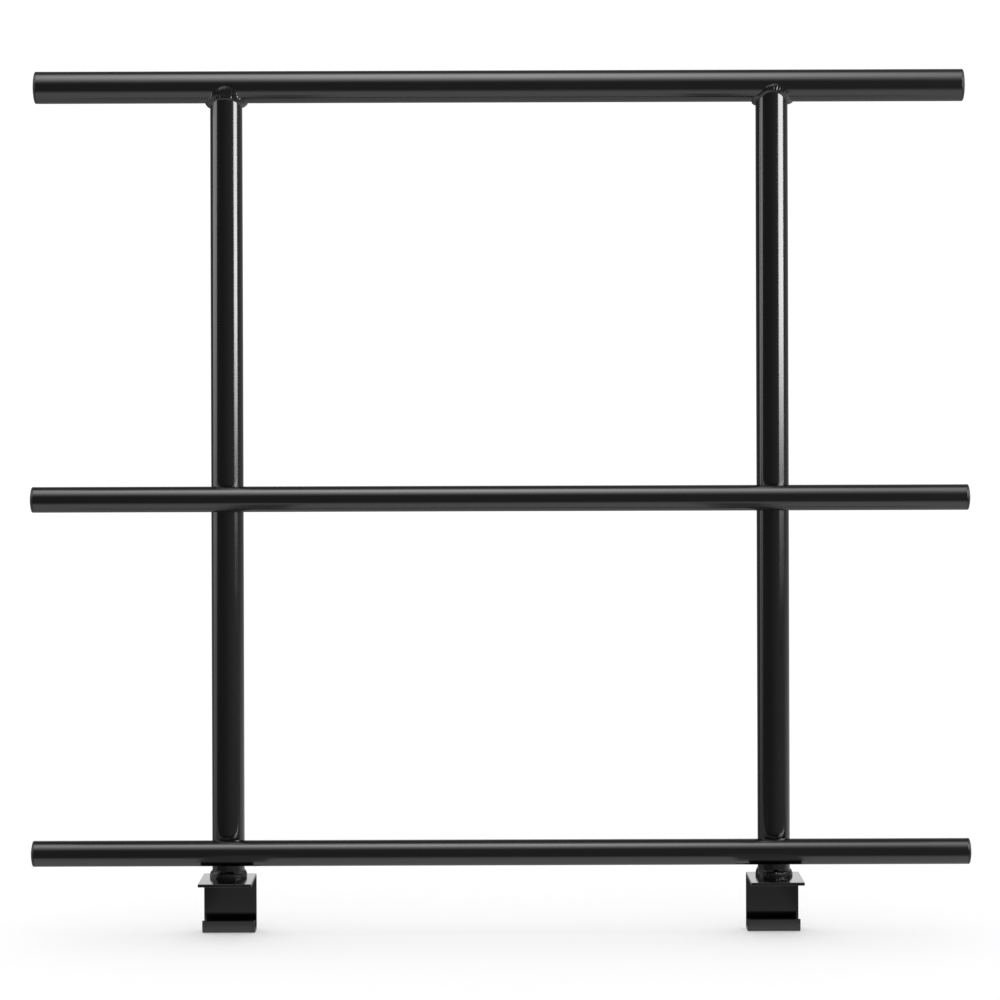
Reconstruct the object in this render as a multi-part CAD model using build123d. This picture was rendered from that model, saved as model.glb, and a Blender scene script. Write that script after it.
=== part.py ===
from build123d import *
import math
import os

# Stage guardrail: a welded frame of two posts and three rails on two hook brackets.
# X runs along the rails, Y points off the stage, Z is up, all in millimetres.
# The origin lies on the underside of the left bracket, below the left post, at deck level.

# Rails
rail_length = 1219.2  # over the end caps
top_rail_diameter = 42.2
top_rail_wall = 2.0
lower_rail_diameter = 33.4
lower_rail_wall = 2.0
top_rail_height = 1037.3  # rail centre above the deck
mid_rail_height = 499.5
bottom_rail_height = 40.3

# Posts
post_diameter = top_rail_diameter  # the same tube
post_wall = top_rail_wall
post_spacing = 714.0

# End caps
cap_rim = 2.5
cap_dome = 2.5
cap_edge_round = 0.6
cap_stem_length = 16.0
cap_stem_wall = 1.8

# Hook brackets, each bent from one strip of plate
plate_thickness = 4.0
bend_radius = 2.5  # inside the bend
bracket_width = 69.0
bracket_depth = 92.0  # front edge of the plate to the back of the wall
bracket_heel = 7.5  # back of the post to the back of the wall
deck_edge_height = 53.6  # underside of the plate to the top of the lip
hook_gap = 25.0  # wall to lip
lip_height = 16.7
edge_round = 0.6

# Welds
top_weld_leg = 7.0
top_weld_bulge = 1.2
top_weld_drop = 4.0  # how much lower it lies at front and back
top_weld_crown = 1.0  # how much more it bulges there
top_weld_root = 2.0  # how far each section starts inside the tubes
top_weld_sections = 6  # spans in a quarter of the way round
base_weld_leg = 6.0
base_weld_bulge = 0.9
crossing_weld_radius = 9.5
crossing_weld_bead = 3.6

# Clearances
fit_up_gap = 0.2  # between curved faces before welding
cap_clearance = 0.15  # cap stem in the bore of the tube

# Places that follow from the sizes
post_radius = post_diameter / 2
top_rail_radius = top_rail_diameter / 2
lower_rail_radius = lower_rail_diameter / 2
lower_rail_y = -(post_radius + fit_up_gap + lower_rail_radius)
tube_length = rail_length - 2 * (cap_rim + cap_dome)
rail_middle = post_spacing / 2
post_x = {"left": 0.0, "right": post_spacing}
rails = {
    "top": (top_rail_diameter, top_rail_wall, 0.0, top_rail_height),
    "mid": (lower_rail_diameter, lower_rail_wall, lower_rail_y, mid_rail_height),
    "bottom": (lower_rail_diameter, lower_rail_wall, lower_rail_y, bottom_rail_height),
}


def rail_bar(y, z, radius):
    return Pos(rail_middle, y, z) * Rot(0, 90, 0) * Cylinder(radius, tube_length)


def post_bar(x, radius):
    height = top_rail_height - plate_thickness
    return Pos(x, 0, plate_thickness + height / 2) * Cylinder(radius, height)


# A round tube along X, open at both ends
def rail(diameter, wall, y, z):
    return rail_bar(y, z, diameter / 2) - rail_bar(y, z, diameter / 2 - wall)


# A round tube that stands on the bracket and is coped to the underside of the top rail
def post(x):
    tube = post_bar(x, post_radius) - post_bar(x, post_radius - post_wall)
    return tube - rail_bar(0, top_rail_height, top_rail_radius + fit_up_gap)


# A plug whose rim is as wide as the tube, with a low dome outside and a hollow stem in the bore
def end_cap(diameter, wall, y, z, side):
    radius = diameter / 2
    stem = radius - wall - cap_clearance
    hollow = stem - cap_stem_wall
    top = cap_rim + cap_dome
    profile = make_face([
        TangentArc((0, top), (radius, cap_rim), tangent=(1, 0)),
        Polyline((radius, cap_rim), (radius, 0), (stem, 0), (stem, -cap_stem_length)),
        Polyline((stem, -cap_stem_length), (hollow, -cap_stem_length), (hollow, 0), (0, 0), (0, top)),
    ])
    profile = fillet(profile.vertices().sort_by_distance((radius, cap_rim))[0], cap_edge_round)
    plug = revolve(Plane.XZ * profile, Axis.Z)
    outward = 1 if side == "right" else -1
    return Pos(rail_middle + outward * tube_length / 2, y, z) * Rot(0, outward * 90, 0) * plug


# The strip from the side: top plate, wall, floor and lip, with a bend at three corners
def hook_bracket(x):
    t = plate_thickness
    back = post_radius + bracket_heel
    wall = back - t
    front = back - bracket_depth
    lip = wall - hook_gap
    lip_top = -deck_edge_height
    bottom = lip_top - lip_height
    outline = make_face(Polyline(
        (front, 0), (wall, 0), (wall, bottom + t), (lip, bottom + t), (lip, lip_top),
        (lip - t, lip_top), (lip - t, bottom), (back, bottom), (back, t), (front, t), close=True))
    inner = [(wall, 0), (wall, bottom + t), (lip, bottom + t)]
    outer = [(back, t), (back, bottom), (lip - t, bottom)]
    ends = [(front, 0), (front, t), (lip, lip_top), (lip - t, lip_top)]
    for corners, radius in ((inner, bend_radius), (outer, bend_radius + t), (ends, edge_round)):
        outline = fillet([outline.vertices().sort_by_distance(c)[0] for c in corners], radius)
    return Pos(x, 0, 0) * extrude(Plane.YZ * outline, bracket_width / 2, both=True)


# How far inside a square corner a bead's centre lies, so that its face swells past the flat by the bulge
def bead_inset(leg, bulge):
    return (leg**2 / 2 - bulge**2) / (2 * math.sqrt(2) * bulge) - leg / 2


# A bead round the foot of the post, on the plate and over the start of its bend
def base_weld(x):
    inset = bead_inset(base_weld_leg, base_weld_bulge)
    bead = math.hypot(base_weld_leg + inset, inset)
    ring = Pos(x, 0, plate_thickness - inset) * Torus(post_radius - inset, bead)
    return split(ring, Plane.XY, keep=Keep.TOP) - post_bar(x, post_radius) - hook_bracket(x)


# A ring of weld round the spot where a lower rail meets the front of a post
def crossing_weld(x, z):
    ring = Torus(crossing_weld_radius, crossing_weld_bead)
    ring = Pos(x, -post_radius - fit_up_gap / 2, z) * Rot(90, 0, 0) * ring
    return ring - post_bar(x, post_radius) - rail_bar(lower_rail_y, z, lower_rail_radius)


# One section of the saddle weld, in the upright plane that turns about the post by this angle
def saddle_section(turn):
    facing = math.sin(turn) ** 2  # 0 at the sides, 1 at front and back
    joint = -math.sqrt(top_rail_radius**2 - post_radius**2 * facing)
    slope = math.atan2(post_radius * facing, -joint)
    drop = top_weld_drop * facing
    bulge = top_weld_bulge + top_weld_crown * facing
    along = Vector(math.cos(slope), math.sin(slope))
    inward = Vector(-math.sin(slope), math.cos(slope))
    root = Vector(post_radius, joint)
    low = root - Vector(0, top_weld_leg + drop)
    high = root + along * (top_weld_leg - drop)
    chord = (high - low).normalized()
    face = (low + high) / 2 + Vector(chord.Y, -chord.X) * bulge
    buried = root + Vector(-top_weld_root, top_weld_root)
    outline = make_face([
        ThreePointArc(low, face, high),
        Polyline(high, high + inward * top_weld_root, buried),
        Polyline(buried, low - Vector(top_weld_root, 0), low),
    ])
    outward = (math.cos(turn), math.sin(turn), 0)
    sideways = (math.sin(turn), -math.cos(turn), 0)
    return Plane((0, 0, 0), x_dir=outward, z_dir=sideways) * outline


# The bead round the coped joint: a quarter carried through its sections, then mirrored to the other three
def top_weld(x):
    step = math.pi / 2 / top_weld_sections
    quarter = loft([saddle_section(k * step) for k in range(top_weld_sections + 1)])
    half = quarter + mirror(quarter, Plane.XZ)
    saddle = Pos(x, 0, top_rail_height) * (half + mirror(half, Plane.YZ))
    return saddle - post_bar(x, post_radius) - rail_bar(0, top_rail_height, top_rail_radius)


parts = {}
for level, (diameter, wall, y, z) in rails.items():
    parts[f"{level}_rail"] = rail(diameter, wall, y, z)
    for side in post_x:
        parts[f"{level}_rail_{side}_cap"] = end_cap(diameter, wall, y, z, side)
for side, x in post_x.items():
    parts[f"{side}_post"] = post(x)
    parts[f"{side}_hook_bracket"] = hook_bracket(x)
    parts[f"{side}_top_weld"] = top_weld(x)
    parts[f"{side}_mid_weld"] = crossing_weld(x, mid_rail_height)
    parts[f"{side}_bottom_weld"] = crossing_weld(x, bottom_rail_height)
    parts[f"{side}_base_weld"] = base_weld(x)

os.makedirs("parts", exist_ok=True)
for name, shape in parts.items():
    export_step(shape, f"parts/{name}.step")
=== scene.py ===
import math

import bpy
import numpy as np
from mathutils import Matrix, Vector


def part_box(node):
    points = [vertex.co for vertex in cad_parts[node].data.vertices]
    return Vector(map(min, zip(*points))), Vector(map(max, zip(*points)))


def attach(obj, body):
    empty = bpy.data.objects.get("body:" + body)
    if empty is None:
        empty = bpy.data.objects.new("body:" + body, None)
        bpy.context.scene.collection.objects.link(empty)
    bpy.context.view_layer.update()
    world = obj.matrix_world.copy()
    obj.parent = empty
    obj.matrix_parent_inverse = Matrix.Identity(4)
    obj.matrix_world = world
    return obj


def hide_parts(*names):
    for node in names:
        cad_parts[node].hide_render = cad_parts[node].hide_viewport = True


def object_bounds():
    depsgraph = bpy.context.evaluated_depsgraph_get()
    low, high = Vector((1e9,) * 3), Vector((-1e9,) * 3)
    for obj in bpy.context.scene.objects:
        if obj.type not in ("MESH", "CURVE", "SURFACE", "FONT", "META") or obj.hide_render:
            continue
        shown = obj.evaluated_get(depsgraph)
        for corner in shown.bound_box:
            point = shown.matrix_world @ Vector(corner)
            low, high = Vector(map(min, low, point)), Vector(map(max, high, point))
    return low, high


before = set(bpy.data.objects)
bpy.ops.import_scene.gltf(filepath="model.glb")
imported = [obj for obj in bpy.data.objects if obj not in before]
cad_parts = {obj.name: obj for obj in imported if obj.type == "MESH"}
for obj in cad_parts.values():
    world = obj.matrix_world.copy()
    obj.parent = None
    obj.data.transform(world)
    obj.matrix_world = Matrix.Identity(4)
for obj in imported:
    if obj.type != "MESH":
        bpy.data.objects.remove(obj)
cadLow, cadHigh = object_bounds()
print("frame:", len(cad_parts), "nodes, box", [round(v, 4) for v in (*cadLow, *cadHigh)])

scene = bpy.context.scene
levels = ("top", "mid", "bottom")
sides = ("left", "right")
mm = 0.001
white = (1.0, 1.0, 1.0, 1.0)


# lowest and highest corner of a CAD node, as arrays
def nodeBox(node):
    low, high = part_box(node)
    return np.array(low), np.array(high)


# middle of a rail, and its radius
def railAxis(level):
    low, high = nodeBox(f"{level}_rail")
    middle = (low + high) / 2
    return middle, middle[2] - low[2]


# where a post stands along the rails, and its radius
def postAxis(side):
    low, high = nodeBox(f"{side}_post")
    return (low[0] + high[0]) / 2, (high[0] - low[0]) / 2


# One socket of a node tree. Operators on it add Math nodes, and node() adds any other node.
class Wire:
    def __init__(self, tree, socket=None):
        self.tree = tree
        self.socket = socket

    def node(self, kind, settings=None, inputs=None, out=0):
        made = self.tree.nodes.new(kind)
        for key, value in (settings or {}).items():
            setattr(made, key, value)
        for key, value in (inputs or {}).items():
            if isinstance(value, Wire):
                self.tree.links.new(value.socket, made.inputs[key])
            else:
                made.inputs[key].default_value = value
        if isinstance(out, tuple):
            return [Wire(self.tree, made.outputs[key]) for key in out]
        return Wire(self.tree, made.outputs[out]) if made.outputs else made

    def math(self, operation, *values):
        return self.node("ShaderNodeMath", {"operation": operation}, dict(enumerate(values)))

    # 0 at low, 1 at high, with soft ends
    def ease(self, low, high):
        return self.node("ShaderNodeMapRange", {"interpolation_type": "SMOOTHSTEP"},
                         {"Value": self, "From Min": low, "From Max": high})

    # a cloudy value at this place
    def noise(self, scale, detail):
        return self.node("ShaderNodeTexNoise", None,
                         {"Vector": self, "Scale": scale, "Detail": detail}, "Fac")

    # the first colour at 0, the second at 1
    def blend(self, first, second):
        return self.node("ShaderNodeMix", {"data_type": "RGBA"}, {0: self, 6: first, 7: second}, 2)

    def __add__(self, other):
        return self.math("ADD", self, other)

    def __sub__(self, other):
        return self.math("SUBTRACT", self, other)

    def __rsub__(self, other):
        return self.math("SUBTRACT", other, self)

    def __mul__(self, other):
        return self.math("MULTIPLY", self, other)

    def __truediv__(self, other):
        return self.math("DIVIDE", self, other)

    def __rtruediv__(self, other):
        return self.math("DIVIDE", other, self)

    def __abs__(self):
        return self.math("ABSOLUTE", self)

    __radd__ = __add__
    __rmul__ = __mul__


# An empty material, a wire to fill it, and the place on the object
def blankMaterial(name):
    material = bpy.data.materials.new(name)
    material.use_nodes = True
    material.node_tree.nodes.clear()
    wire = Wire(material.node_tree)
    return material, wire, wire.node("ShaderNodeTexCoord", out="Object")


cameraSettings = {
    "place": (0.357, -4.1, 0.690),  # level with the gap above the mid rail, facing the stage's edge
    "lens": 112.7,
    "sensor": 36.0,
    "roll": 0.18,  # degrees
    "shift": (0.0004, -0.1484),
    "clipEnd": 60.0,
}


def placeCamera(settings):
    data = bpy.data.cameras.new("photoCamera")
    data.sensor_width = settings["sensor"]
    data.lens = settings["lens"]
    data.shift_x, data.shift_y = settings["shift"]
    data.clip_end = settings["clipEnd"]
    camera = bpy.data.objects.new("photoCamera", data)
    camera.location = settings["place"]
    camera.rotation_euler = (math.pi / 2, math.radians(settings["roll"]), 0.0)
    scene.collection.objects.link(camera)
    scene.camera = camera


placeCamera(cameraSettings)
print("camera placed")


# brightness as the paint mirrors it, where 1 is paper white
studioSettings = {
    "room": (0.18, 0.42),  # camera's left and right
    "roomEdge": (-0.6, 0.9),
    "sweep": 1.15,
    "sweepEdge": (-0.42, -0.75),
    "sweepFade": (-0.5, 0.8),  # it darkens towards the back
    "sweepBehind": 0.25,
    "ground": 0.5,  # low on the camera's right, towards the back
    "groundEdge": (-0.05, -0.16),
    "groundSide": (0.1, 0.4),
    "groundBack": (-0.3, 0.2),
    "wall": 1.2,
    "wallEdge": (0.85, 0.97),
    "wallFoot": (0.03, 0.14),
    "wallTop": (0.6, 0.3),
    "tent": 1.03,  # what the floor and the camera see all round
}


# The room round the rail: soft-edged patches of the sky, by the direction (x, y, z) in which they lie
def lightStudio(settings):
    world = bpy.data.worlds.new("studio")
    world.use_nodes = True
    world.node_tree.nodes.clear()
    world.cycles.sampling_method = "NONE"
    sky = Wire(world.node_tree)
    heading = sky.node("ShaderNodeTexCoord", out="Generated")
    x, y, z = sky.node("ShaderNodeSeparateXYZ", None, {0: heading}, (0, 1, 2))
    dark, lit = settings["room"]
    room = dark + x.ease(*settings["roomEdge"]) * (lit - dark)
    fall = y.ease(*settings["sweepFade"]) * (settings["sweep"] - settings["sweepBehind"])
    sweep = z.ease(*settings["sweepEdge"]) * (settings["sweep"] - fall)
    wall = y.ease(*settings["wallEdge"]) * z.ease(*settings["wallFoot"]) * z.ease(*settings["wallTop"])
    ground = z.ease(*settings["groundEdge"]) * x.ease(*settings["groundSide"])
    ground = ground * y.ease(*settings["groundBack"])
    level = room + sweep + wall * settings["wall"] + ground * settings["ground"]
    camera, diffuse = sky.node("ShaderNodeLightPath", None, None, ("Is Camera Ray", "Is Diffuse Ray"))
    level = level + sky.math("MAXIMUM", camera, diffuse) * (settings["tent"] - level)
    glow = sky.node("ShaderNodeBackground", None, {"Color": white, "Strength": level})
    sky.node("ShaderNodeOutputWorld", None, {"Surface": glow})
    scene.world = world
    scene.view_settings.view_transform = "Standard"
    scene.view_settings.look = "None"


# corners of a level rectangle
def levelCorners(left, right, front, back, z):
    return [(left, front, z), (right, front, z), (right, back, z), (left, back, z)]


def flatSheet(name, corners, material):
    mesh = bpy.data.meshes.new(name)
    mesh.from_pydata(corners, [], [(0, 1, 2, 3)])
    mesh.materials.append(material)
    sheet = bpy.data.objects.new(name, mesh)
    scene.collection.objects.link(sheet)
    return sheet


# A flat light that only the gloss paint sees: its strength is a function of the place on it.
# The sky behind a sheer one shows through.
def hangLight(name, corners, strength, sheer=False):
    material, cloth, place = blankMaterial(name)
    x, y, z = cloth.node("ShaderNodeSeparateXYZ", None, {0: place}, (0, 1, 2))
    shine = cloth.node("ShaderNodeEmission", None, {"Strength": strength(x, y, z)})
    if sheer:
        clear = cloth.node("ShaderNodeBsdfTransparent")
        shine = cloth.node("ShaderNodeAddShader", None, {0: shine, 1: clear})
    cloth.node("ShaderNodeOutputMaterial", None, {"Surface": shine})
    light = flatSheet(name, corners, material)
    light.visible_camera = False
    light.visible_diffuse = False
    light.visible_shadow = False


clothSettings = {
    "glow": 6.2,
    "height": 3.8,
    "reach": 9.0,  # to both sides and to the front
    "back": 4.0,
    "frontEdge": (-0.95, -0.33),
    "backEdge": (-0.2, 0.36),
    "lowEdge": (0.25, 0.6),
    "sideEdge": (0.95, 0.55),
    "dim": ((0.3, 1.6, 0.52), (0.2, -1.0, 0.34)),  # right and left: from where to where, and by how much
}


# The big cloth overhead, soft at its edges by the direction in which the middle of the top rail sees them
def hangCloth(settings):
    eye = railAxis("top")[0]
    reach = settings["reach"]
    corners = levelCorners(-reach, reach, -reach, settings["back"], settings["height"])

    def strength(x, y, z):
        toX, toY, toZ = x - eye[0], y - eye[1], z - eye[2]
        far = x.math("SQRT", toX * toX + toY * toY + toZ * toZ)
        ahead = toY / far
        glow = ahead.ease(*settings["frontEdge"]) * (1 - ahead.ease(*settings["backEdge"]))
        glow = glow * (toZ / far).ease(*settings["lowEdge"]) * abs(toX / far).ease(*settings["sideEdge"])
        for start, end, share in settings["dim"]:
            glow = glow * (1 - x.ease(start, end) * share)
        return glow * settings["glow"]

    hangLight("overheadCloth", corners, strength, True)


panelSettings = {
    "right": {
        "near": (1.83, -1.20),  # the two upright edges, seen from above
        "far": (3.30, -0.38),
        "height": (0.15, 2.4),
        "fade": ((0.3, 0.85, 0.94), (0.15, 0.35, 0.06)),  # comes up from here to there, to this share
        "lean": (0.0, 0.0),
        "glow": 18.0,
    },
    "left": {
        "near": (-2.0, -0.80),
        "far": (-2.0, 0.62),
        "height": (-0.6, 2.6),  # also as the lowest part of a post mirrors it
        "fade": ((0.1, 1.1, 0.7), (-0.9, 0.3, 0.3)),
        "lean": (0.5, 0.9),  # metres towards the back for each metre below this height
        "glow": 3.9,
    },
}


# A tall soft panel at the side, which the posts mirror as a bright line
def hangPanel(side, settings):
    near, far = settings["near"], settings["far"]
    low, high = settings["height"]
    lean, level = settings["lean"]
    edges = ((near, low), (far, low), (far, high), (near, high))
    corners = [(x, y + lean * (level - z), z) for (x, y), z in edges]

    def strength(x, y, z):
        return sum(z.ease(start, end) * share for start, end, share in settings["fade"]) * settings["glow"]

    hangLight(f"{side}Panel", corners, strength)


sheetSettings = {
    "half": 0.045,
    "reach": (-0.60, 0.06),  # front and back
    "under": 0.5,  # mm below the hook
    "far": 0.45,
    "near": 0.70,  # added close to the lip
    "nearEdge": (-0.13, -0.03),
    "shade": 0.85,  # taken off below the hook
    "shadeEdge": (-0.008, 0.004),
}


# The pale floor right in front of a hook, as its wall and lip mirror it
def layGlow(side, settings):
    low, high = nodeBox(f"{side}_hook_bracket")
    middle = (low[0] + high[0]) / 2
    half = settings["half"]
    z = low[2] - settings["under"] * mm
    corners = levelCorners(middle - half, middle + half, *settings["reach"], z)

    def strength(x, y, z):
        glow = settings["far"] + y.ease(*settings["nearEdge"]) * settings["near"]
        return glow * (1 - y.ease(*settings["shadeEdge"]) * settings["shade"])

    hangLight(f"{side}FloorGlow", corners, strength)


lightStudio(studioSettings)
hangCloth(clothSettings)
for side in sides:
    hangPanel(side, panelSettings[side])
    layGlow(side, sheetSettings)
print("studio lit")


floorSettings = {
    "half": 15.0,
    "colour": (0.68, 0.68, 0.68, 1.0),
    "mottled": (0.67, 0.67, 0.67, 1.0),
    "cloud": (3.0, 3.0),  # scale and detail
    "roughness": 0.9,
    "glow": 0.34,  # lit through from below as well, so that the shade under the hooks stays light
}


# A flat sheet just under the hooks; the gloss paint mirrors the studio, not this sheet
def layFloor(settings):
    material, pale, place = blankMaterial("paleFloor")
    colour = place.noise(*settings["cloud"]).blend(settings["colour"], settings["mottled"])
    shader = pale.node("ShaderNodeBsdfPrincipled", None, {
        "Base Color": colour, "Roughness": settings["roughness"], "Specular IOR Level": 0.0,
        "Emission Color": white, "Emission Strength": settings["glow"]})
    pale.node("ShaderNodeOutputMaterial", None, {"Surface": shader})
    half = settings["half"]
    floor = flatSheet("floor", levelCorners(-half, half, -half, half, cadLow.z), material)
    floor.visible_glossy = False


layFloor(floorSettings)
print("floor laid")


paintSettings = {
    "colour": (0.0012, 0.0012, 0.0013, 1.0),
    "dusty": (0.0040, 0.0040, 0.0040, 1.0),
    "ior": 1.5,
    "roughness": 0.12,
    "patches": (9.0, 4.0),  # scale and detail
    "patchEdge": (0.35, 0.7),
    "patchRoughness": 0.05,
    "specks": (1500.0, 2.0),
    "speckEdge": (0.62, 0.78),
    "dustEdge": (0.4, 0.75),
    "dustRoughness": 0.1,
    "peelSize": 2.2,  # mm between the dimples of the sprayed coat
    "peelDepth": 0.007,  # mm
    "peelDetail": 1.5,
    "waveSize": 22.0,  # mm, slow unevenness of the tube under the coat
    "waveDepth": 0.03,
    "waveDetail": 1.0,
}


# Black gloss enamel: a sprayed coat with fine dimples over slow waves, and a trace of dust
def makePaint(settings):
    material, paint, place = blankMaterial("framePaint")
    patches = place.noise(*settings["patches"])
    specks = place.noise(*settings["specks"])
    dust = specks.ease(*settings["speckEdge"]) * patches.ease(*settings["dustEdge"])
    colour = dust.blend(settings["colour"], settings["dusty"])
    roughness = settings["roughness"] + patches.ease(*settings["patchEdge"]) * settings["patchRoughness"]
    roughness = roughness + dust * settings["dustRoughness"]
    peel = place.noise(1 / (settings["peelSize"] * mm), settings["peelDetail"])
    wave = place.noise(1 / (settings["waveSize"] * mm), settings["waveDetail"])
    height = peel * (settings["peelDepth"] * mm) + wave * (settings["waveDepth"] * mm)
    dimples = paint.node("ShaderNodeBump", None, {"Strength": 1.0, "Distance": 1.0, "Height": height})
    shader = paint.node("ShaderNodeBsdfPrincipled", None, {
        "Base Color": colour, "Roughness": roughness, "IOR": settings["ior"], "Normal": dimples})
    paint.node("ShaderNodeOutputMaterial", None, {"Surface": shader})
    return material


plasticSettings = {
    "colour": (0.010, 0.010, 0.0105, 1.0),
    "worn": (0.018, 0.018, 0.018, 1.0),
    "shine": 0.3,  # duller than plain gloss at 0.5, so that the rim stays dark beside the paint
    "roughness": 0.42,
    "rubbed": (120.0, 4.0),  # scale and detail
    "wornEdge": (0.45, 0.75),
    "rubRoughness": 0.12,
    "grainSize": 0.5,  # mm
    "grainDepth": 0.006,
    "grainDetail": 2.0,
}


# Black moulded plastic with a fine spark-eroded grain, a little greyer where hands have rubbed it
def makePlastic(settings):
    material, plastic, place = blankMaterial("capPlastic")
    rubbed = place.noise(*settings["rubbed"])
    grain = place.noise(1 / (settings["grainSize"] * mm), settings["grainDetail"])
    colour = rubbed.ease(*settings["wornEdge"]).blend(settings["colour"], settings["worn"])
    roughness = settings["roughness"] + (rubbed - 0.5) * settings["rubRoughness"]
    height = grain * (settings["grainDepth"] * mm)
    bumps = plastic.node("ShaderNodeBump", None, {"Strength": 1.0, "Distance": 1.0, "Height": height})
    shader = plastic.node("ShaderNodeBsdfPrincipled", None, {
        "Base Color": colour, "Roughness": roughness, "Specular IOR Level": settings["shine"],
        "Normal": bumps})
    plastic.node("ShaderNodeOutputMaterial", None, {"Surface": shader})
    return material


framePaint = makePaint(paintSettings)
capPlastic = makePlastic(plasticSettings)
print("finishes mixed")

sharpAngle = math.radians(38)


# A grid of points as a closed mesh: columns run round and close, rows close too or shut at the two poles.
# The faces are turned outwards by the sign of the volume they enclose.
def gridPiece(name, points, node, material, poles=None):
    rows, columns = points.shape[:2]
    column = np.arange(columns)
    after = (column + 1) % columns
    row = np.arange(rows if poles is None else rows - 1)[:, None] * columns
    nextRow = (row + columns) % (rows * columns)
    quads = np.stack([row + column, row + after, nextRow + after, nextRow + column], axis=-1).reshape(-1, 4)
    vertices = points.reshape(-1, 3)
    fans = np.empty((0, 3), dtype=int)
    if poles is not None:
        first = len(vertices)
        last = (rows - 1) * columns
        head = np.stack([after, column, np.full(columns, first)], axis=-1)
        tail = np.stack([last + column, last + after, np.full(columns, first + 1)], axis=-1)
        fans = np.concatenate([head, tail])
        vertices = np.concatenate([vertices, poles])
    corners = np.concatenate([quads[:, [0, 1, 2]], quads[:, [0, 2, 3]], fans])
    a, b, c = (vertices[corners[:, k]] for k in range(3))
    if np.einsum("ij,ij->i", a, np.cross(b, c)).sum() < 0:
        quads = quads[:, ::-1]
        fans = fans[:, ::-1]
    mesh = bpy.data.meshes.new(name)
    mesh.from_pydata(vertices.tolist(), [], quads.tolist() + fans.tolist())
    mesh.shade_smooth()
    mesh.set_sharp_from_angle(angle=sharpAngle)
    mesh.materials.append(material)
    piece = bpy.data.objects.new(name, mesh)
    scene.collection.objects.link(piece)
    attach(piece, "root")
    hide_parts(node)


def unit(vectors):
    return vectors / np.linalg.norm(vectors, axis=-1, keepdims=True)


# A line of straight runs with each corner rounded to its own radius. Every arc has a point just before and
# just after it, so that the shading of the flat runs stays flat.
def roundCorners(points, radii, steps, closed, lead):
    points = np.asarray(points, dtype=float)
    line = []
    for k, (corner, radius) in enumerate(zip(points, radii)):
        if radius == 0 or (not closed and k in (0, len(points) - 1)):
            line.append(corner[None])
            continue
        before = unit(corner - points[k - 1])
        after = unit(points[(k + 1) % len(points)] - corner)
        turn = math.atan2(before[0] * after[1] - before[1] * after[0], before @ after)
        inward = np.array([-before[1], before[0]]) * math.copysign(1, turn)
        reach = radius * math.tan(abs(turn) / 2)
        angle = np.linspace(0, abs(turn), steps + 1)[:, None]
        arc = corner - before * reach + radius * (before * np.sin(angle) + inward * (1 - np.cos(angle)))
        line.append((corner - before * (reach + lead))[None])
        line.append(arc)
        line.append((corner + after * (reach + lead))[None])
    return np.concatenate(line)


# A profile of (along, out) pairs turned about a line parallel to X
def turnedAlongX(profile, sidesRound, startX, outward, y, z):
    angle = np.linspace(0, 2 * math.pi, sidesRound, endpoint=False)
    along = np.broadcast_to(startX + outward * profile[:, :1], (len(profile), sidesRound))
    out = profile[:, 1:]
    return np.stack([along, y + out * np.cos(angle), z + out * np.sin(angle)], axis=-1)


railSettings = {
    "wall": 2.0,  # mm
    "endRound": 0.35,
    "endSteps": 4,
    "lead": 0.3,
    "sides": 128,
}


# A rail: the cut through one wall of the tube, with softened ends, turned about the tube's axis
def makeRail(level, settings):
    low, high = nodeBox(f"{level}_rail")
    middle, radius = railAxis(level)
    bore = radius - settings["wall"] * mm
    length = high[0] - low[0]
    corners = [(0, bore), (0, radius), (length, radius), (length, bore)]
    rounds = [settings["endRound"] * mm] * 4
    cut = roundCorners(corners, rounds, settings["endSteps"], True, settings["lead"] * mm)
    points = turnedAlongX(cut, settings["sides"], low[0], 1.0, middle[1], middle[2])
    gridPiece(f"{level}RailTube", points, f"{level}_rail", framePaint)


capSettings = {
    "rim": 2.5,  # mm
    "dome": (0.04, 0.90),  # how much of the radius its arc spans
    "domeSteps": 24,
    "bore": 2.15,  # mm from the tube's outside to the stem
    "stem": 16.0,
    "wall": 1.8,
    "floor": 0.75,  # mm from the tube's end to the bottom of the hollow
    "hub": 0.1,  # of the radius, the last ring round the middle of that floor
    "rounds": (1.8, 0.35, 0.0, 0.2, 0.2, 0.4),  # mm: edge, seam, seat, both corners of the stem, hollow
    "roundSteps": 5,
    "lead": 0.1,
    "sides": 96,
}


# A cap: from the middle of the dome over its edge and rim, then along the stem and back inside it,
# turned about the rail's axis. The dome is a shallow arc: its height falls with the square of the radius.
def makeCap(level, side, settings):
    low, high = nodeBox(f"{level}_rail_{side}_cap")
    railLow, railHigh = nodeBox(f"{level}_rail")
    middle, radius = railAxis(level)
    outward = 1.0 if side == "right" else -1.0
    face = railHigh[0] if side == "right" else railLow[0]
    top = high[0] - face if side == "right" else face - low[0]
    rim = settings["rim"] * mm
    stem = radius - settings["bore"] * mm
    hollow = stem - settings["wall"] * mm
    depth = settings["stem"] * mm
    floor = settings["floor"] * mm
    out = np.linspace(*settings["dome"], settings["domeSteps"])
    dome = np.stack([rim + (top - rim) * (1 - out**2), radius * out], axis=-1)
    corners = [(rim, radius), (0, radius), (0, stem), (-depth, stem), (-depth, hollow), (floor, hollow)]
    outline = [dome[-1], *corners, (floor, settings["hub"] * radius)]
    radii = [0, *(np.array(settings["rounds"]) * mm), 0]
    rest = roundCorners(outline, radii, settings["roundSteps"], False, settings["lead"] * mm)
    profile = np.concatenate([dome[:-1], rest])
    points = turnedAlongX(profile, settings["sides"], face, outward, middle[1], middle[2])
    ends = np.array([(face + outward * along, middle[1], middle[2]) for along in (top, floor)])
    gridPiece(f"{level}Rail{side.capitalize()}Cap", points, f"{level}_rail_{side}_cap", capPlastic,
              ends)


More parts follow.
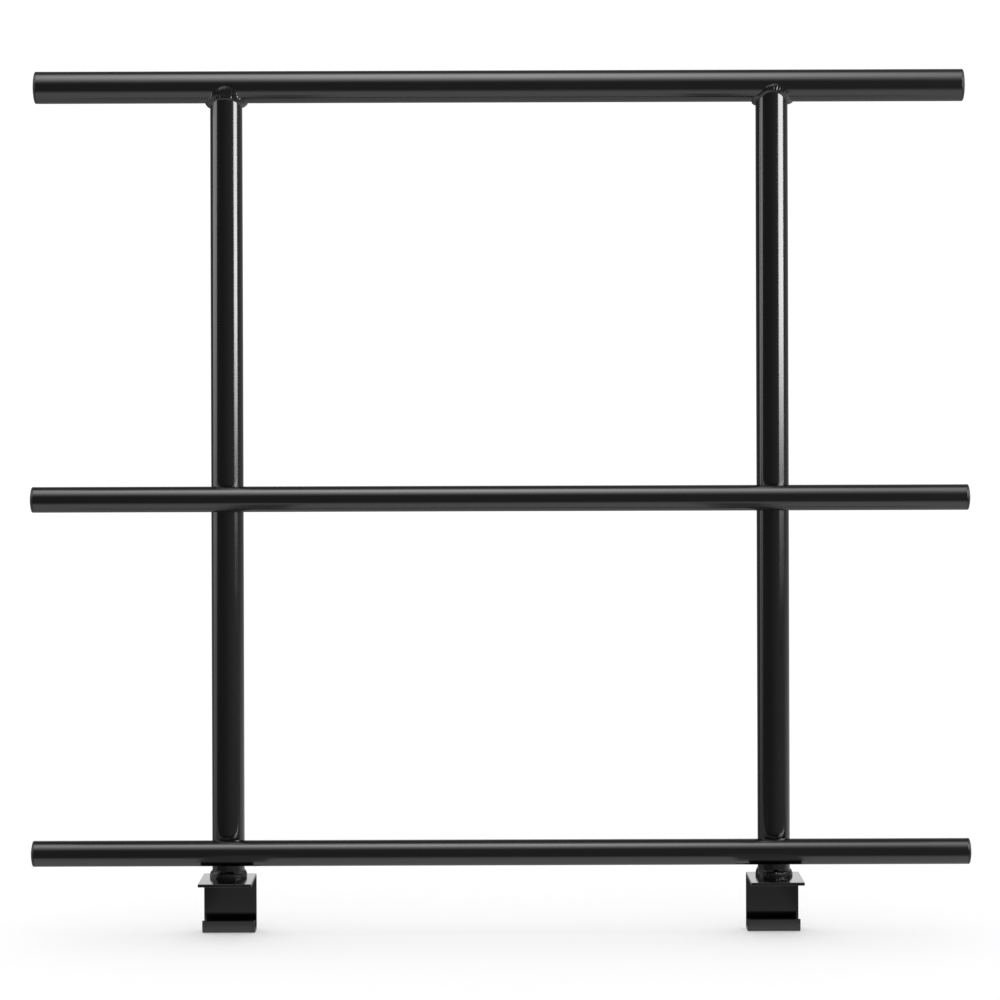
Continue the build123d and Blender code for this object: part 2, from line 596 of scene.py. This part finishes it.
for level in levels:
    makeRail(level, railSettings)
    for side in sides:
        makeCap(level, side, capSettings)
print("rails and caps made")


topMiddle, topRadius = railAxis("top")
topZ = topMiddle[2]

postSettings = {
    "wall": 2.0,  # mm
    "gap": 0.2,  # mm under the top rail, filled by the weld
    "sides": 128,
}


# A post: outer and inner wall of a tube. Its top follows the rail: as high as the rail's underside at
# that depth.
def makePost(side, settings):
    foot = nodeBox(f"{side}_post")[0][2]
    x, radius = postAxis(side)
    bore = radius - settings["wall"] * mm
    angle = np.linspace(0, 2 * math.pi, settings["sides"], endpoint=False)
    out = np.array([radius, radius, bore, bore])[:, None]
    raised = np.array([0, 1, 1, 0])[:, None]
    y = out * np.sin(angle)
    cope = topZ - np.sqrt((topRadius + settings["gap"] * mm)**2 - y**2)
    z = foot + raised * (cope - foot)
    points = np.stack([x + out * np.cos(angle), y, z], axis=-1)
    gridPiece(f"{side}PostTube", points, f"{side}_post", framePaint)


bracketSettings = {
    "thickness": 4.0,  # mm
    "bend": 2.5,  # inside radius
    "hookGap": 25.0,  # wall to lip
    "lip": 16.7,
    "edge": 0.6,
    "bendSteps": 14,
    "bendLead": 0.4,
    "edgeSteps": 5,
    "edgeLead": 0.1,
}


# A bracket: a flat strip's section, a rectangle with rounded corners, carried along its bent middle line.
# At the two ends the section draws in along a quarter circle to a flat end face, with a row just before it.
def makeBracket(side, settings):
    low, high = nodeBox(f"{side}_hook_bracket")
    middle = (low[0] + high[0]) / 2
    half = settings["thickness"] * mm / 2
    edge = settings["edge"] * mm
    lead = settings["bendLead"] * mm
    back = high[1] - half
    floor = low[2] + half
    lip = back - half - settings["hookGap"] * mm - half
    top = high[2] - half
    lipTop = low[2] + settings["lip"] * mm
    bend = settings["bend"] * mm + half
    runs = [(low[1], top), (back, top), (back, floor), (lip, floor), (lip, lipTop)]
    path = roundCorners(runs, [0, bend, bend, bend, 0], settings["bendSteps"], False, lead)
    turn = np.linspace(0, math.pi / 2, settings["edgeSteps"] + 1)
    reach = np.append(edge + lead, edge * (1 - np.sin(turn)))
    drawn = np.append(0, edge * (1 - np.cos(turn)))
    start = path[0] + unit(path[1] - path[0]) * reach[::-1, None]
    end = path[-1] + unit(path[-2] - path[-1]) * reach[:, None]
    drawn = np.concatenate([drawn[::-1], np.zeros(len(path) - 2), drawn])
    path = np.concatenate([start, path[1:-1], end])
    ahead = unit(np.gradient(path, axis=0))
    normal = np.stack([-ahead[:, 1], ahead[:, 0]], axis=-1)
    width = (high[0] - low[0]) / 2
    box = [(-width, -half), (width, -half), (width, half), (-width, half)]
    section = roundCorners(box, [edge] * 4, settings["edgeSteps"], True, settings["edgeLead"] * mm)
    limit = np.array([width, half]) - edge
    core = np.clip(section - np.sign(section) * edge, -limit, limit)
    shrunk = core + (section - core) * (1 - drawn / edge)[:, None, None]
    across = path[:, None, :] + normal[:, None, :] * shrunk[..., 1:]
    points = np.concatenate([middle + shrunk[..., :1], across], axis=-1)
    ends = np.array([(middle, *path[0]), (middle, *path[-1])])
    gridPiece(f"{side}HookStrip", points, f"{side}_hook_bracket", framePaint, ends)


for side in sides:
    makePost(side, postSettings)
    makeBracket(side, bracketSettings)
print("posts and brackets made")


beadSettings = {
    "ripple": 3.0,  # mm from one ripple to the next
    "rippleDepth": 0.38,
    "rippleMiddle": 0.6,  # how much of that depth lies below the smooth face
    "crescent": 2.2,  # radians that a ripple runs ahead in the middle of the bead
    "toeSoftness": 1.2,
    "twoPasses": (0.4, 0.75),  # one mound and two half waves in a bead of two passes
    "lowerPass": 0.7,  # narrows the lower of them
    "uneven": 0.22,
    "unevenPhase": 1.3,
    "sink": 0.15,  # mm, how far the toes lie under the paint of the tubes
    "bury": 1.2,
    "stepsPerRipple": 12,
    "stepsAcross": 24,
}


# Slow unevenness of a hand-laid bead: sine waves of whole counts round the joint
def wander(turn, phase):
    waves = ((0.5, 3, 1.0), (0.3, 7, 2.1), (0.2, 13, 0.7))
    return sum(share * np.sin(count * turn + lag * phase) for share, count, lag in waves)


# The turns round a bead, a whole number of ripples
def beadTurns(radius, settings):
    ripples = round(2 * math.pi * radius / (settings["ripple"] * mm))
    return ripples, np.linspace(0, 2 * math.pi, ripples * settings["stepsPerRipple"], endpoint=False)


# A fillet bead between two toes. Across it the face swells over the chord, as a parabola with softened toes
# for one pass and as two half waves, the lower one narrower, for two. Along it the face rises and falls in
# crescent ripples. Behind the face the section runs back under the surface.
def filletBead(name, node, turn, lowToe, highToe, swell, root, ripples, bulge, passes, phase, settings):
    across = np.linspace(0, 1, settings["stepsAcross"])[None, :, None]
    chord = lowToe[:, None] + (highToe - lowToe)[:, None] * across
    single = (4 * across * (1 - across))**settings["toeSoftness"]
    share, wave = settings["twoPasses"]
    double = share * single + wave * np.abs(np.sin(2 * math.pi * across**settings["lowerPass"]))
    mound = single + (passes - 1)[:, None, None] * (double - single)
    beat = ripples * turn[:, None, None] + settings["crescent"] * mound + wander(turn, phase)[:, None, None]
    ripple = (np.abs(np.sin(beat / 2)) - settings["rippleMiddle"]) * np.sqrt(single)
    uneven = 1 + settings["uneven"] * wander(2 * turn, phase + settings["unevenPhase"])
    height = (bulge * uneven)[:, None, None] * mm * mound + settings["rippleDepth"] * mm * ripple
    face = chord + swell[:, None] * height
    buried = (root - swell * settings["bury"] * mm)[:, None]
    points = np.concatenate([face, buried], axis=1)
    gridPiece(name, points, node, framePaint)


# The two top joints as they were welded, by degrees round the post from its front to the camera's right:
# the leg out along the rail, the depth of the lower toe under the rail's axis, the bulge, and how far the
# bead is laid in two passes.
topJoints = {
    "left": {
        "leg": [(-90, 6.4), (-68, 7.2), (-47, 4.2), (-36, 8.8), (-22, 6.4), (-4, 5.6), (12, 6.4), (32, 7.4),
                (43, 2.8), (60, 4.2), (90, 7.6), (180, 8.0)],
        "depth": [(-90, 28.8), (-50, 21.5), (-25, 18.0), (0, 17.4), (31, 19.8), (60, 24.6), (90, 27.8),
                  (135, 21.5), (180, 9.0), (225, 21.5)],
        "bulge": [(-90, 1.0), (-50, 0.8), (-25, 1.3), (5, 1.4), (30, 0.5), (60, 0.3), (90, 1.0),
                  (180, 1.5)],
        "passes": [(-90, 1.0), (-60, 1.0), (-35, 1.8), (20, 1.7), (45, 1.0), (180, 1.0)],
        "peak": 0.966,  # rounds off the joint at front and back, where rail and post are level
        "phase": 0.4,
    },
    "right": {
        "leg": [(-90, 5.0), (-57, 8.0), (-39, 4.0), (-30, 6.4), (-15, 6.6), (-4, 5.2), (4, 6.8), (14, 9.0),
                (27, 12.4), (39, 12.4), (57, 4.2), (90, 7.6), (180, 8.0)],
        "depth": [(-90, 26.6), (-60, 21.0), (-40, 15.8), (-20, 11.2), (0, 9.8), (30, 13.6), (60, 20.8),
                  (90, 25.2), (135, 21.0), (180, 9.0), (225, 21.0)],
        "bulge": [(-90, 1.0), (-50, 0.8), (-25, 1.0), (-5, 1.3), (12, 1.5), (30, 0.6), (60, 0.4), (90, 0.9),
                  (180, 1.5)],
        "passes": [(0, 1.0), (180, 1.0)],
        "peak": 0.966,
        "phase": 1.9,
    },
}

stationSettings = {
    "reach": 12,  # degrees to both sides
    "samples": 13,
    "least": 0.05,  # the weight that is left at the ends
}


# A closed curve round the joint: straight from station to station, softened by a cosine window
def throughStations(turn, table, settings):
    stations, values = np.array(table).T
    reach = settings["reach"]
    spread = np.linspace(-reach, reach, settings["samples"])
    weight = 1 + settings["least"] + np.cos(math.pi * spread / reach)
    near = np.interp(np.degrees(turn)[:, None] + spread, stations, values, period=360)
    return near @ weight / weight.sum()


# The bead round the coped joint. At each turn round the post one toe lies on the post at its depth. The
# other lies on the rail, a leg from the joint in a fan of directions: along the rail at the sides, round it
# at the front.
def makeTopBead(side, joint, settings):
    x, radius = postAxis(side)
    ripples, turn = beadTurns(radius, settings)
    leg, depth, bulge, passes = (throughStations(turn, joint[key], stationSettings)
                                 for key in ("leg", "depth", "bulge", "passes"))
    leg, depth = leg * mm, depth * mm
    sink = settings["sink"] * mm
    still = np.zeros_like(turn)
    aside = np.stack([np.sin(turn), -np.cos(turn), still], axis=-1)
    level = joint["peak"] * radius * np.cos(turn) / topRadius
    below = np.arcsin(level)  # the joint's place round the rail, from its underside
    railOut = np.stack([still, -level, -np.cos(below)], axis=-1)
    root = aside * np.array([radius, 0, 0]) + railOut * topRadius
    onPost = aside * (radius - sink)
    onPost[:, 2] = -depth
    rail = topRadius - sink
    toe = below + leg * np.cos(turn) / topRadius
    onRail = np.stack([(radius + leg) * np.sin(turn), -rail * np.sin(toe), -rail * np.cos(toe)], axis=-1)
    place = np.array([x, 0, topZ])
    filletBead(f"{side}TopBead", f"{side}_top_weld", turn, onPost + place, onRail + place,
               unit(aside + railOut), root + place, ripples, bulge, passes, joint["phase"], settings)


baseJoint = {
    "up": 9.0,  # mm
    "out": 3.2,
    "bulge": 1.3,
    "root": 1.0,  # below the top of the plate
    "unevenUp": 0.16,
    "unevenOut": 0.22,
    "phase": {"left": 2.6, "right": 0.8},
    "phaseOut": 2.2,
}


# The bead round the foot: one toe a leg up the post, the other a leg out on the plate, which at the back
# follows the round of the bend down.
def makeBaseBead(side, joint, settings, plate):
    plateHigh = nodeBox(f"{side}_hook_bracket")[1]
    x, radius = postAxis(side)
    bend = (plate["bend"] + plate["thickness"]) * mm
    sink = settings["sink"] * mm
    phase = joint["phase"][side]
    ripples, turn = beadTurns(radius, settings)
    legUp = joint["up"] * mm * (1 + joint["unevenUp"] * wander(turn, phase))
    legOut = joint["out"] * mm * (1 + joint["unevenOut"] * wander(turn, phase + joint["phaseOut"]))

    def ground(y):
        past = np.clip(y - (plateHigh[1] - bend), 0, bend)
        return plateHigh[2] - bend + np.sqrt(bend**2 - past**2)

    aside = np.stack([np.sin(turn), -np.cos(turn), np.zeros_like(turn)], axis=-1)
    up = np.array([0, 0, 1])
    onPost = aside * (radius - sink) + up * (plateHigh[2] + legUp)[:, None]
    onPlate = aside * (radius + legOut)[:, None]
    onPlate[:, 2] = ground(onPlate[:, 1]) - sink
    root = aside * radius
    root[:, 2] = plateHigh[2] - joint["root"] * mm
    place = np.array([x, 0, 0])
    one = np.ones_like(turn)
    filletBead(f"{side}BaseBead", f"{side}_base_weld", turn, onPlate + place, onPost + place,
               unit(aside + up), root + place, ripples, joint["bulge"] * one, one, phase, settings)


crossJoint = {
    "ring": 9.5,  # mm
    "bead": 3.4,
    "bulge": 0.6,
    "uneven": 0.05,
    "phase": {"left": 1.4, "right": 0.2},
    "phaseRing": 0.9,
}


# The bead in the notch between a lower rail and the post: a ring round the point where they meet, one toe
# on the back of the rail and the other on the front of the post.
def makeCrossBead(side, level, joint, settings):
    x, radius = postAxis(side)
    rail, railRadius = railAxis(level)
    ripples, turn = beadTurns(joint["ring"] * mm, settings)
    sink = settings["sink"] * mm
    outer = (joint["ring"] + joint["bead"]) * mm * (1 + joint["uneven"] * wander(turn, joint["phaseRing"]))
    aside = np.stack([np.cos(turn), np.zeros_like(turn), np.sin(turn)], axis=-1)
    reach = aside * outer[:, None]
    onPost = reach.copy()
    onPost[:, 1] = sink - np.sqrt(radius**2 - reach[:, 0]**2)
    onRail = reach.copy()
    onRail[:, 1] = rail[1] - sink + np.sqrt(railRadius**2 - reach[:, 2]**2)
    root = aside * (joint["ring"] - joint["bead"]) * mm
    root[:, 1] = -radius
    place = np.array([x, 0, rail[2]])
    one = np.ones_like(turn)
    filletBead(f"{side}{level.capitalize()}Bead", f"{side}_{level}_weld", turn, onPost + place,
               onRail + place, aside, root + place, ripples, joint["bulge"] * one, one,
               joint["phase"][side], settings)


for side in sides:
    makeTopBead(side, topJoints[side], beadSettings)
    makeBaseBead(side, baseJoint, beadSettings, bracketSettings)
    makeCrossBead(side, "mid", crossJoint, beadSettings)
    makeCrossBead(side, "bottom", crossJoint, beadSettings)
print("beads laid")
